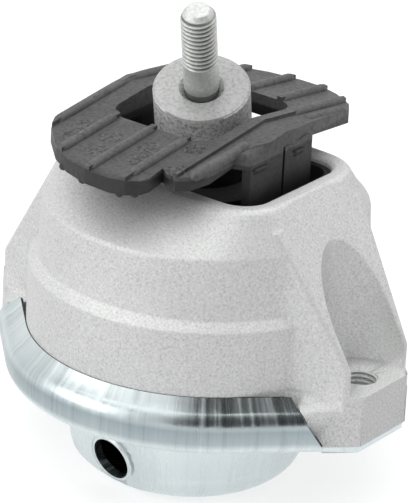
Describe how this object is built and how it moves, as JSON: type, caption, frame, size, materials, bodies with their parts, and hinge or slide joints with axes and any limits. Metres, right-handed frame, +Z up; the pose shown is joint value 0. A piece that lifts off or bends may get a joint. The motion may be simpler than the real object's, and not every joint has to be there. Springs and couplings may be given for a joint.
{
  "type": "engine mount",
  "caption": "Fluid-filled engine mount: cast housing with two bolt ears, crimped steel pan, rubber spring and a tilted core with a threaded stud.",
  "frame": {"origin": "midway between the two bolt holes, on the underside of the base pan", "axes": "+Z up, square to the base pan and along the bolt holes; +X from the middle to the ear on the right of the picture; -Y to the side of the cup's vent hole"},
  "size_m": [0.1292, 0.1112, 0.1426],
  "materials": {
    "housing": "die-cast, fine blasted grain",
    "base_pan": "bright zinc plate on pressed steel",
    "stop_buffer": "moulded, satin",
    "core": "cast with coarse grain, faced top",
    "stud": "rolled thread, zinc plated",
    "main_spring": "moulded, matt",
    "spring_ring": "plain",
    "channel_plates": "die-cast",
    "membrane": "moulded",
    "diaphragm": "moulded"
  },
  "bodies": {
    "root": {"housing": "housing", "base_pan": "base_pan", "stop_buffer": "stop_buffer", "core": "core", "stud": "stud", "main_spring": "main_spring", "window_lining": "main_spring", "spring_ring": "spring_ring", "upper_plate": "channel_plates", "lower_plate": "channel_plates", "membrane": "membrane", "diaphragm": "diaphragm"}
  },
  "joints": []
}
